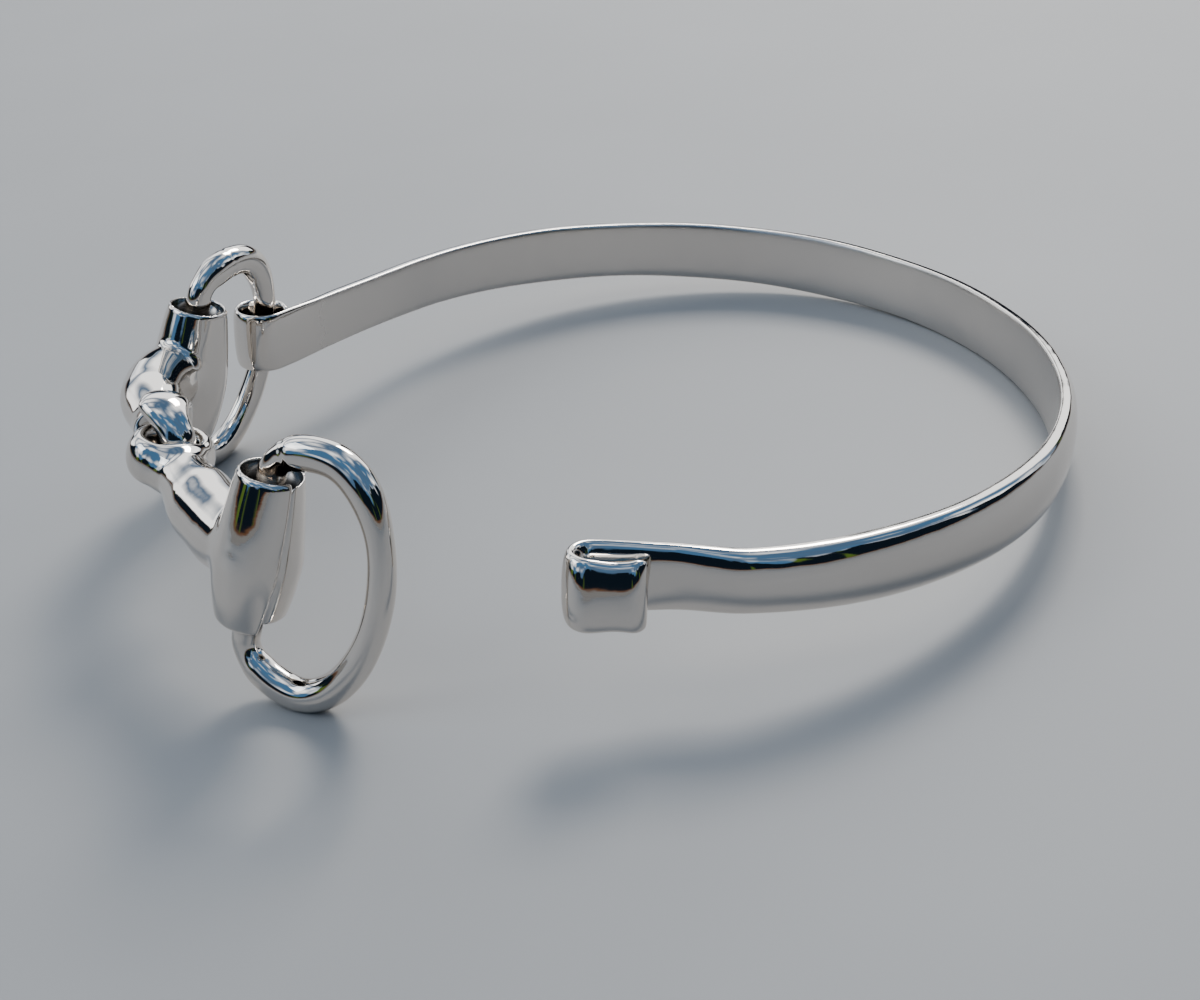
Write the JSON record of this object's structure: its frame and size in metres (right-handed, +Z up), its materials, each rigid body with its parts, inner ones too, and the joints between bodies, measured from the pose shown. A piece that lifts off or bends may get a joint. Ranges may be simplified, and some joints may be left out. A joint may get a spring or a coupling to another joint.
{
  "type": "snaffle bit bangle bracelet",
  "caption": "Open half-round bangle that closes with a jointed horse-bit: a hook at one end of the band, a rolled eye at the other, and D rings joined by a linked mouthpiece.",
  "frame": {"origin": "on the table under the middle of the whole piece as it lies open on its three resting points", "axes": "+Z up from the table; the bangle's own axis leans about 7 degrees from it; -Y towards the hook, -X towards the bit"},
  "size_m": [0.073, 0.0674, 0.0183],
  "materials": {
    "band_silver": "polished sterling silver, satin on the wrist side",
    "bit_silver": "mirror polished sterling silver"
  },
  "bodies": {
    "band": {"cuff_band": "band_silver"},
    "ring_far": {"far_ring": "bit_silver"},
    "canon_far": {"far_canon": "bit_silver"},
    "canon_near": {"near_canon": "bit_silver"},
    "ring_near": {"near_ring": "bit_silver"}
  },
  "joints": [
    {"name": "far_ring_swing", "type": "hinge", "parent": "band", "child": "ring_far", "pos_m": [-0.02787, 0.00944, 0.00896], "axis": [0.0991, 0.0586, 0.9933], "range_deg": [-40, 40]},
    {"name": "far_canon_turn", "type": "hinge", "parent": "ring_far", "child": "canon_far", "pos_m": [-0.03223, 0.0015, 0.01007], "axis": [0.2954, 0.1039, 0.9497], "range_deg": [-50, 50]},
    {"name": "centre_link", "type": "hinge", "parent": "canon_far", "child": "canon_near", "pos_m": [-0.03092, -0.01519, 0.01148], "axis": [0.2954, 0.1039, 0.9497], "range_deg": [-80, 10]},
    {"name": "near_ring_turn", "type": "hinge", "parent": "canon_near", "child": "ring_near", "pos_m": [-0.02186, -0.02731, 0.00999], "axis": [0.2954, 0.1039, 0.9497], "range_deg": [-60, 60]}
  ]
}
